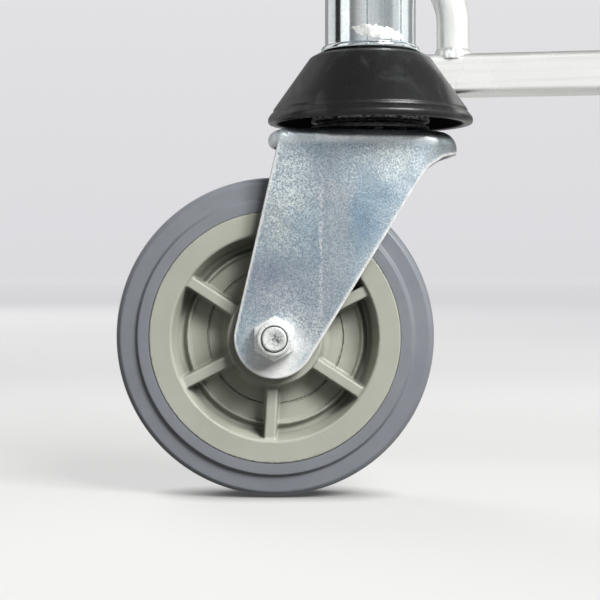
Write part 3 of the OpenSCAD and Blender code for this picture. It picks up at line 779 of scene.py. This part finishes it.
TYRE_HALF = fillet([
    (61.5, 0), (61.5, 6), (RIM_R, 6), (RIM_R, RIM_W), (63.7, RIM_W, 0.9), (64.9, 15.9, 1.2),
    (71.9, 15.6, 2.0), (73.7, 13.9, 1.4), (74.6, 8.0, 5.0), (WHEEL_R, 2.0, 8.0), (WHEEL_R, 0)], 7)
tyre_profile = TYRE_HALF + [(r, -z) for r, z in reversed(TYRE_HALF[:-1])]
tyre_mesh = lathe("tyre", tyre_profile, 256, "y")

CORE_HALF = fillet([
    (16, 0), (16, HUB_W), (HUB_R, HUB_W, 0.8), (22.8, 9, 0.5), (24.5, 5.2, 2.0), (31.2, DISC_W),
    (31.5, 4.3, 0.1), (31.9, 4.3, 0.1), (32.2, DISC_W), (39.7, DISC_W, 0.5), (40.7, 6.7, 0.4),
    (41.6, 6.5, 0.5), (43.6, 3.0, 1.2), (45.4, 5.2, 2.2), (48.0, RIM_W, 1.3), (58.25, RIM_W, 0.2),
    (58.5, RIM_W - 0.3, 0.1), (58.55, 0)], 5)
CORE_PROFILE = CORE_HALF + [(r, -z) for r, z in reversed(CORE_HALF[1:-1])]


def core_field(x, y, z):
    r = np.sqrt(x * x + y * y)
    body = outline_distance(r, z, CORE_PROFILE)
    pitch = 2 * math.pi / RIBS
    a = np.mod(np.arctan2(y, x) - RIB_TURN + pitch / 2, pitch) - pitch / 2
    across, along = r * np.sin(a), r * np.cos(a)
    half = 2.55 + (RIB_W - np.abs(z)) * 0.045
    rib = round_and(np.abs(across) - half, np.abs(z) - RIB_W, 0.7)
    rib = np.maximum(rib, np.maximum(18.5 - along, along - 50.5))
    return round_or(body, rib, 1.1)


core_mesh = solid("wheel_core", lambda x, y, z: core_field(x, z, -y), (-60, -22, -60), (60, 22, 60),
                  0.75)

# ---- fasteners
HEX_FLATS = 18.1
HEX_CHAMFER = 8.9
NUT_H, COLLAR_H, HEAD_H = 8.0, 11.6, 7.5
COLLAR_R, NUT_BORE = 7.9, 6.1
THREAD_R, THREAD_ROOT, THREAD_PITCH, THREAD_TOP = 5.6, 5.1, 0.9, 12.1


def hexagon(x, y):
    """Distance to a hexagonal bar with its corners towards +y and -y."""
    sides = [np.abs(x * math.cos(k * math.pi / 3) + y * math.sin(k * math.pi / 3)) for k in range(3)]
    return np.maximum(np.maximum(sides[0], sides[1]), sides[2]) - HEX_FLATS / 2


def hex_block(x, y, z, height):
    """A chamfered hexagonal block that stands on z = 0."""
    r = np.sqrt(x * x + y * y)
    block = round_and(hexagon(x, y), np.maximum(z - height, 0.05 - z), 0.25)
    return round_and(block, (r - HEX_CHAMFER) * 0.5 + (z - height) * 0.866, 0.15)


def nut_field(x, y, z):
    """A lock nut; z is the height above the cheek."""
    r = np.sqrt(x * x + y * y)
    collar = round_and(r - COLLAR_R, np.maximum(z - COLLAR_H, -z), 1.3)
    d = round_or(hex_block(x, y, z, NUT_H), collar, 0.5)
    return round_and(d, NUT_BORE - r, 0.35)


def bolt_end_profile():
    """The bolt's domed end and its first three turns of thread, as (r, height above the cheek)."""
    points = [(0, 12.75), (2.2, 12.8), (3.4, 13.05), (4.9, 13.1), (5.35, 12.5)]
    for k in range(3):
        turn = THREAD_TOP - k * THREAD_PITCH
        points += [(THREAD_R, turn), (THREAD_ROOT, turn - THREAD_PITCH / 2)]
    points += [(THREAD_R, 9), (THREAD_R, 0)]
    return points[::-1]


hex_step = 0.3
nut_mesh = solid("axle_nut", lambda x, y, z: nut_field(x, z, -y), (-12, -12.5, -12), (12, 1, 12), hex_step)
head_mesh = solid("bolt_head", lambda x, y, z: hex_block(x, z, y, HEAD_H), (-12, -1, -12), (12, 8.5, 12),
                  hex_step)
shank_mesh = lathe("bolt_end", bolt_end_profile(), 64, "y")
mark(shank_mesh, "bolt_face", lambda x, y, z: (y < -12.3) * 1.0)

# ---- swivel head, buffer, weld
HEAD_R = 28.0
HEAD = fillet([
    (0, HEAD_LO), (27.4, HEAD_LO), (HEAD_R, HEAD_LO + 0.5, 0.4), (HEAD_R, HEAD_LO + 1.7, 0.4),
    (25.6, HEAD_LO + 2.2, 0.2), (25.5, HEAD_LO + 3.2, 0.2), (HEAD_R, HEAD_LO + 3.7, 0.4),
    (HEAD_R, HEAD_HI - 6, 5.0), (22.5, HEAD_HI - 0.2, 3), (21.4, HEAD_HI)], 5)


def head_ripple(profile, ang):
    """A slight waviness of the pressed head's radius, and none of its height."""
    r, z = profile[:, 0][:, None], profile[:, 1][:, None]
    return 0.12 * np.sin(17 * ang + z) * (r > 5), 0


head_turned = lathe("swivel_head", HEAD, 128, "z", head_ripple)

# the buffer's straight flank runs from its shoulder down to its skirt, just above the rolled lip
SHOULDER_R, SHOULDER_Z = 28.6, 206.6
SKIRT_R, SKIRT_Z = 46.0, LIP + 6.8
LIP_IN, LIP_OUT, BUFFER_TOP = 44.6, 48.6, 208.7
BUFFER = fillet([
    (POST_R + 0.25, BUFFER_TOP), (POST_R + 0.25, 203), (24, 202, 2), (42.6, LIP + 2.0, 1),
    (43.2, LIP + 0.6, 0.5), (LIP_IN, LIP, 1.0), (LIP_OUT, LIP, 2.3), (48.5, LIP + 2.8, 1.6),
    (47.1, LIP + 4.8, 0.5), (46.4, LIP + 5.1, 0.3), (46.1, LIP + 5.7, 0.3), (SKIRT_R, SKIRT_Z, 0.6),
    (SHOULDER_R, SHOULDER_Z, 3.4), (24.5, BUFFER_TOP, 1.5), (POST_R + 0.3, BUFFER_TOP)], 6)


def buffer_field(sx, sy):
    """The buffer of the corner at (sx, sy), cut away where the rails run into its post."""
    def field(x, y, z):
        d = outline_distance(np.sqrt(x * x + y * y), z, BUFFER)
        above = RAIL_BOTTOM - 1 - z
        side_rail = round_and(POST_R - 1 - y * sy, above, 0.8)
        if sx < 0:
            side_rail = round_and(side_rail, -x - RAIL_REAR - 3, 0.8)
            return round_and(d, -side_rail, 0.5)
        d = round_and(d, -side_rail, 0.5)
        d = round_and(d, -round_and(POST_R - 1 - x, above, 0.8), 0.5)
        return np.maximum(d, -np.maximum(np.maximum(5 - x, 5 - y * sy), above))
    return field


def hollow(x, y, z):
    """1 on the inside of the buffer's skirt, where the rubber is painted in shade."""
    r = np.hypot(x, y)
    outside = SKIRT_R - (z - SKIRT_Z) * (SKIRT_R - SHOULDER_R) / (SHOULDER_Z - SKIRT_Z)
    return np.clip(44.4 - r, 0, 1) * np.clip(outside - 1.2 - r, 0, 1)


SPATTER_TURN, SPATTER_SPREAD = math.radians(-71), 38     # the middle, and degrees to either end
SPATTER_Z, SPATTER_HALF = 216.0, 3.8


def weld_ripple(profile, ang):
    """The weld's uneven bead, and a slanting run of spatter above it that faces the camera."""
    r, z = profile[:, 0][:, None], profile[:, 1][:, None]
    wave = 0.35 * np.sin(26 * ang) + 0.25 * np.sin(41 * ang + 1.3) + 0.3 * np.sin(7 * ang + 0.5)
    lift = 0.5 * np.sin(5 * ang + 2.0) + 0.3 * np.sin(13 * ang)
    weight = np.clip((r - POST_R) / 1.2, 0, 1)
    off = np.degrees(np.mod(ang - SPATTER_TURN + math.pi, 2 * math.pi) - math.pi)
    middle = SPATTER_Z - off * 0.055 + 0.35 * np.sin(ang * 23) + 0.15 * np.sin(ang * 51)
    half = SPATTER_HALF * np.clip(1 - (off / SPATTER_SPREAD) ** 4, -1, 1) + 0.15 * np.sin(ang * 37)
    film = np.clip((half - np.abs(z - middle)) / 1.6, -1, 1) * 0.2
    return weight * wave * 0.45 + (z > 213.0) * (r > POST_R - 0.5) * film, weight * lift * 0.4


FILM_R = POST_R - 0.12
WELD = [(POST_R - 0.3, 208.6), (POST_R + 0.8, 208.8), (POST_R + 1.0, 209.6), (POST_R + 0.9, 210.4),
        (POST_R + 0.4, 211.3), (FILM_R, 212.2)]
WELD += [(FILM_R, 213.2 + k * 0.35) for k in range(20)] + [(POST_R - 0.6, 220.4)]
weld_mesh = lathe("weld", WELD, 360, "z", weld_ripple)

BRACE_R, BRACE_OUT = 8.0, 37.0
BEAD = [(BRACE_R - 0.2, -2.4), (BRACE_R + 0.9, -2.4), (BRACE_R + 1.0, 0.2), (BRACE_R + 0.6, 1.2),
        (BRACE_R + 0.2, 2.2), (BRACE_R - 0.2, 3.0)]


def bead_ripple(profile, ang):
    proud = np.clip(profile[:, 0][:, None] - BRACE_R, 0, 1)
    return proud * (0.25 * np.sin(19 * ang) + 0.15 * np.sin(7 * ang + 1)), 0


bead_mesh = lathe("brace_weld", BEAD, 120, "z", bead_ripple)

# ---- star knob, z outwards from the post's axis
KNOB_R, KNOB_ARMS = 24, 5
BITE_R, BITE_OUT = 11, 29      # radius of the hollows between the arms, and how far out they sit
KNOB_BASE = POST_R + 16
KNOB_H = 15
STUD_R = 4


def knob_field(x, y, z):
    r = np.sqrt(x * x + y * y)
    pitch = 2 * math.pi / KNOB_ARMS
    a = np.mod(np.arctan2(y, x) - math.radians(36) + pitch / 2, pitch) - pitch / 2
    bite = BITE_R - np.sqrt((r * np.cos(a) - BITE_OUT) ** 2 + (r * np.sin(a)) ** 2)
    star = round_and(r - KNOB_R, bite, 3.0)
    dome = z - (KNOB_BASE + KNOB_H) + (r / KNOB_R) ** 2 * 1.5
    head = round_and(round_and(star, dome, 3.5), KNOB_BASE - z, 1.5)
    neck = round_and(r - 10, z - KNOB_BASE - 3, 0.3)
    neck = np.maximum(neck, POST_R + 11 - z)
    head = round_or(head, neck, 1.0)
    dish = np.maximum(r - 6.5, KNOB_BASE + 12.6 - z)
    head = round_and(head, -dish, 0.4)
    stud = np.maximum(r - STUD_R, np.maximum(16.4 - z, z - KNOB_BASE - 2))
    return np.minimum(head, stud)


knob_mesh = solid("clamp_knob", lambda x, y, z: knob_field(x, z, y), (-26, 15, -26), (26, POST_R + 33, 26),
                  0.8)


# ---- the four corners
def add_castor(c):
    """Fork, wheel and axle of the castor at corner c."""
    at_post = Matrix.Translation((POST[c].x, POST[c].y, 0))
    castor = at_post @ Matrix.Rotation(TURN[c], 4, "Z")
    axle = castor @ Matrix.Translation((AXLE[0] / 1000, 0, AXLE[1] / 1000))
    near = axle @ Matrix.Translation((0, -HALF_W / 1000, 0))
    far = axle @ Matrix.Translation((0, HALF_W / 1000, 0))
    swivel, wheel = "castor_" + c, "wheel_" + c
    add("fork_piece_" + c, fork_mesh, "zinc_sheet", swivel, castor, ["fork_" + c])
    add("tyre_piece_" + c, tyre_mesh, "tyre", wheel, axle, ["tyre_" + c])
    add("core_piece_" + c, core_mesh, "core", wheel, axle, ["wheel_core_" + c])
    add("nut_piece_" + c, nut_mesh, "fastener", swivel, near, ["axle_nut_" + c])
    add("bolt_head_piece_" + c, head_mesh, "fastener", swivel, far, ["axle_bolt_" + c])
    add("bolt_end_piece_" + c, shank_mesh, "fastener", swivel, near, [])


def add_post_foot(c, sx, sy):
    """What sits on the post's foot at corner c: swivel head, welds and buffer."""
    x, y = POST[c].x, POST[c].y
    at_post = Matrix.Translation((x, y, 0))
    foot = (x - sx * BRACE_OUT / 1000, y + sy * (POST_R + BRACE_R) / 1000, RAIL_TOP / 1000)
    buffer_mesh = solid("buffer_" + c, buffer_field(sx, sy), (-51, -51, LIP - 2), (51, 51, 210),
                        0.9)
    mark(buffer_mesh, "hollow", hollow)
    add("swivel_head_piece_" + c, head_turned, "greased", "base_frame", at_post, ["swivel_heads"])
    add("weld_piece_" + c, weld_mesh, "weld", "base_frame", at_post, [])
    add("brace_weld_" + c, bead_mesh, "zinc_brace", "base_frame", Matrix.Translation(foot), [])
    add("buffer_piece_" + c, buffer_mesh, "gloss_rubber", "base_frame", at_post, ["rubber_buffers"])


def add_knob(c, sy):
    at_clamp = Matrix.Translation((POST[c].x, POST[c].y, KNOB_Z / 1000))
    outward = Matrix.Rotation(math.pi if sy < 0 else 0, 4, "Z")
    add("knob_piece_" + c, knob_mesh, "black_plastic", "knob_" + c, at_clamp @ outward,
        ["clamp_knob_" + c])


for corner, (sign_x, sign_y) in CORNERS.items():
    add_castor(corner)
    add_post_foot(corner, sign_x, sign_y)
    add_knob(corner, sign_y)

# ---- hand grips
GRIP_LEN = 1000 * (GRIP_HI.z - GRIP_LO.z)
GRIP_R, GRIP_RINGS = 20, 9


def grip_profile():
    """A flange, nine finger rings that swell in the middle, and a rounded end."""
    rows = [(11.05, 0), (GRIP_R, 0, 0.6), (GRIP_R, 4, 1.2), (15.6, 6.5, 1.5)]
    for k in range(GRIP_RINGS):
        z = 12 + k * 10.5
        bulge = 1.1 * math.sin(math.pi * (k + 0.5) / GRIP_RINGS)
        valley, ring = 15.3 + bulge, 15.9 + bulge
        rows += [(valley, z, 0.8), (ring, z + 1.5, 0.8), (ring, z + 7.0, 0.8), (valley, z + 8.5, 0.8)]
    rows += [(16.6, GRIP_LEN - 9, 1.5), (16.6, GRIP_LEN - 2.5, 2.5), (13.5, GRIP_LEN, 2.5), (0, GRIP_LEN)]
    return fillet(rows, 4)


def add_grips():
    mesh = lathe("hand_grip", grip_profile(), 96, "z")
    x = (GRIP_LO.x + GRIP_HI.x) / 2
    for side, y in (("left", GRIP_HI.y - GRIP_R / 1000), ("right", GRIP_LO.y + GRIP_R / 1000)):
        add("grip_piece_" + side, mesh, "matte_rubber", "upper_frame",
            Matrix.Translation((x, y, GRIP_LO.z)), ["hand_grips"])


add_grips()

# ---- forearm pad
PAD_BACK, PAD_FRONT = 1000 * PAD_LO.x, 1000 * PAD_HI.x
PAD_HALF = 1000 * PAD_HI.y
PAD_UNDER, PAD_TOP = 1000 * PAD_LO.z, 1000 * PAD_HI.z
PAD_ARM = 152.0            # width of the pad's side arms and of its front
SEAM_Z = PAD_UNDER + 27


def rounded_plan(x, y, x0, x1, half, r):
    """Distance to a rectangle from x0 to x1 and -half to half, with corners of r."""
    qx = np.abs(x - (x0 + x1) / 2) - (x1 - x0) / 2 + r
    qy = np.abs(y) - half + r
    return np.minimum(np.maximum(qx, qy), 0) + np.sqrt(np.maximum(qx, 0) ** 2 + np.maximum(qy, 0) ** 2) - r


def pad_plan(x, y):
    """The pad seen from above: a U, open at the back, with wider curves at the front."""
    outer = rounded_plan(x, y, PAD_BACK, PAD_FRONT, PAD_HALF, 46)
    front = rounded_plan(x, y, PAD_BACK - 300, PAD_FRONT, PAD_HALF, 96)
    slot = rounded_plan(x, y, PAD_BACK - 400, PAD_FRONT - PAD_ARM, PAD_HALF - PAD_ARM, 64)
    return round_and(np.maximum(outer, front), -slot, 38)


def pad_field(x, y, z):
    d = pad_plan(x, y)
    inset = np.clip(-d, 0, 80)
    crown = 4.5 * (1 - np.exp(-inset / 22))
    wave = 0.7 * np.sin(x * 0.031 + 1.0) * np.sin(y * 0.027) + 0.4 * np.sin(x * 0.083 + y * 0.061)
    top = z - (PAD_TOP - 4.8 + crown * 0.95 + wave * np.clip(inset / 30, 0, 1) * 0.5)
    belly = 1.6 * np.sin(np.clip((z - PAD_UNDER) / (PAD_TOP - PAD_UNDER), 0, 1) * math.pi)
    pucker = 0.55 * np.sin(0.23 * (x + y)) * np.sin(0.21 * (x - y) + 0.6)
    belly = belly - (0.35 + pucker) * np.exp(-((z - SEAM_Z) / 9.0) ** 2)
    body = round_and(round_and(d + 2.6 - belly, top, 13), PAD_UNDER - z, 5)
    piping = np.sqrt((d + 1.1) ** 2 + (z - SEAM_Z) ** 2) - 2.0
    groove = np.sqrt((d + 0.4) ** 2 + (z - SEAM_Z) ** 2) - 3.2
    return round_or(round_and(body, -groove, 1.5), piping, 0.4)


pad_mesh = solid("arm_pad_soft", pad_field, (PAD_BACK - 3, -PAD_HALF - 3, PAD_UNDER - 2),
                 (PAD_FRONT + 3, PAD_HALF + 3, PAD_TOP + 3), 2.6)
add("pad_piece", pad_mesh, "vinyl", "upper_frame", None, ["arm_pad"])
bevel = frame["nodes"]["pad_board"].modifiers.new("edge", "BEVEL")
bevel.width = 0.0015
bevel.segments = 2
bevel.limit_method = "ANGLE"

# ---- studio
CAMERA_TURN = math.radians(10.0)    # how far the camera stands towards the frame's front from square-on
BACK = Vector((math.sin(CAMERA_TURN), -math.cos(CAMERA_TURN), 0))     # from the scene to the camera
RIGHT = Vector((math.cos(CAMERA_TURN), math.sin(CAMERA_TURN), 0))
UP = Vector((0, 0, 1))
SUBJECT = POST["rear_left"].to_2d().to_3d()
CAMERA_FROM_SUBJECT = BACK * 0.727 - RIGHT * 0.03335 + UP * 0.1048


def srgb(*levels):
    """0 to 255 screen levels to linear light."""
    return [((v / 255 + 0.055) / 1.055) ** 2.4 if v / 255 > 0.04045 else v / 255 / 12.92 for v in levels]


def placed(name, data, position, look):
    """A camera or light that looks along look."""
    ob = new_object(name, data)
    ob.matrix_world = Matrix.Translation(position) @ look.to_track_quat("-Z", "Y").to_matrix().to_4x4()
    return ob


def add_camera():
    data = bpy.data.cameras.new("camera")
    data.sensor_width = 36
    data.lens = 91.8
    data.shift_y = -0.045
    data.clip_start = 0.02
    bpy.context.scene.camera = placed("camera", data, SUBJECT + CAMERA_FROM_SUBJECT, -BACK)


# what the camera sees of the floor, by distance in metres, before light and shadow are added
FLOOR_SPAN = 16.0
FLOOR_TONES = (
    (0.60, (206, 206, 206)), (0.80, (200, 200, 200)), (1.04, (201, 201, 201)), (1.28, (203, 203, 204)),
    (1.64, (193, 193, 195)), (2.70, (190, 190, 193)), (4.0, (199, 199, 202)), (7.0, (211, 211, 214)),
    (FLOOR_SPAN, (218, 218, 221)))
FLOOR_IN_MIRRORS = (0.62, 0.62, 0.61)
FLOOR_HALF = 40000
CONTACT_REACH = 0.024


def contact_shade(n):
    """Darkens the floor next to whatever stands on it."""
    contact = n.new("ShaderNodeAmbientOcclusion", samples=16)
    contact.inputs["Distance"].default_value = CONTACT_REACH
    contact.inputs["Normal"].default_value = (RIGHT * 0.2 + BACK * 0.97 + UP * 0.12).normalized()
    return n.grey(contact.outputs["AO"], 0.1, 0.85, 0.10, 1.0)


def floor_material():
    """Seen directly: mostly a glowing tone that changes with distance, darkened by a painted contact
    shadow, the rest real light and shadow.
    """
    mat = bpy.data.materials.new("floor")
    mat.use_nodes = True
    n = Nodes(mat.node_tree)
    distance = n.grey(n.new("ShaderNodeCameraData").outputs["View Distance"], 0.0, FLOOR_SPAN)
    tone = n.ramp(distance, [(metres / FLOOR_SPAN, srgb(*levels)) for metres, levels in FLOOR_TONES])
    both = n.new("ShaderNodeAddShader")
    n.put(both.inputs[0], n.shader("ShaderNodeEmission", n.mix(1.0, tone, contact_shade(n), "MULTIPLY")))
    n.put(both.inputs[1], n.shader("ShaderNodeBsdfDiffuse", (0.200, 0.198, 0.192)))
    bounce = n.shader("ShaderNodeBsdfDiffuse", (0.08, 0.08, 0.08))
    in_mirrors = n.shader("ShaderNodeEmission", FLOOR_IN_MIRRORS)
    ray = n.new("ShaderNodeLightPath").outputs
    unseen = n.choose(ray["Is Glossy Ray"], bounce, in_mirrors)
    surface = n.choose(ray["Is Camera Ray"], unseen, both.outputs[0])
    n.put(n.new("ShaderNodeOutputMaterial").inputs[0], surface)
    return mat


def add_floor():
    corners = [(x * FLOOR_HALF, y * FLOOR_HALF, 0) for x, y in ((-1, -1), (1, -1), (1, 1), (-1, 1))]
    mesh = make_mesh("floor", corners, [(0, 1, 2, 3)])
    mesh.materials.append(floor_material())
    new_object("floor", mesh)


# brightness of the studio in the tubes' reflections, by degrees round from the camera towards its right
STUDIO_BANDS = (
    (-180, 0.34), (-140, 0.36), (-134, 0.98), (-106, 0.86), (-100, 0.02), (-85, 0.02), (-81, 1.30),
    (-59, 1.40), (-54, 0.22), (-44, 0.30), (-34, 0.56), (-14, 0.86), (2, 0.72), (14, 0.68), (24, 0.52),
    (44, 0.42), (54, 0.48), (60, 0.85), (72, 0.85), (78, 1.35), (106, 1.20), (114, 0.34), (150, 0.28))
# the wall behind, from the horizon up
WALL_TONES = (
    (0.0, (219, 219, 222)), (0.25, (221, 220, 224)), (0.6, (223, 222, 225)), (1.0, (226, 226, 228)))


def studio_reflection(n, direction, height):
    """Upright bands of light and dark all round, an even ceiling above and the floor's tone below."""
    round_about = n.math("ARCTAN2", n.dot(direction, RIGHT), n.dot(direction, BACK))
    bands = n.ramp(n.grey(round_about, -math.pi, math.pi),
                   [((degrees + 180) / 360, level) for degrees, level in STUDIO_BANDS])
    with_ceiling = n.mix(n.grey(height, 0.55, 0.85), bands, (0.25, 0.25, 0.26))
    return n.mix(n.grey(height, -0.25, -0.02), FLOOR_IN_MIRRORS, with_ceiling)


def add_world():
    """A pale wall to the camera, bands to mirrors, and a little even light for everything else."""
    world = bpy.data.worlds.new("studio")
    world.use_nodes = True
    n = Nodes(world.node_tree)
    direction = n.new("ShaderNodeTexCoord").outputs["Generated"]
    height = n.dot(direction, UP)
    ambient = n.ramp(n.grey(height, -1.0, 1.0), [(0.0, 0.04), (0.5, 0.06), (1.0, 0.10)])
    wall = n.ramp(n.grey(height, -0.02, 0.18), [(share, srgb(*levels)) for share, levels in WALL_TONES])
    ray = n.new("ShaderNodeLightPath").outputs
    light = n.mix(ray["Is Diffuse Ray"], studio_reflection(n, direction, height), ambient)
    seen = n.choose(ray["Is Camera Ray"], n.shader("ShaderNodeBackground", light),
                    n.shader("ShaderNodeBackground", wall))
    n.put(n.new("ShaderNodeOutputWorld").inputs[0], seen)
    world.cycles.sampling_method = "NONE"
    bpy.context.scene.world = world


AIM_HEIGHT = 0.1


def softbox(name, offset, side, power, in_mirrors):
    """A square light; offset is right, towards the camera and up, in metres from the post's foot."""
    data = bpy.data.lights.new(name, "AREA")
    data.shape = "RECTANGLE"
    data.size = side
    data.size_y = side
    data.energy = power
    position = SUBJECT + RIGHT * offset[0] + BACK * offset[1] + UP * offset[2]
    light = placed(name, data, position, SUBJECT + UP * AIM_HEIGHT - position)
    light.visible_glossy = in_mirrors


def plain_colours():
    settings = bpy.context.scene.view_settings
    settings.view_transform = "Standard"
    settings.look = "None"
    settings.exposure = 0.0
    settings.gamma = 1.0


add_camera()
add_floor()
add_world()
softbox("key", (1.73, 2.21, 2.26), 1.6, 246, in_mirrors=True)
softbox("fill", (-1.7, -2.7, 2.4), 2.2, 110, in_mirrors=False)
plain_colours()
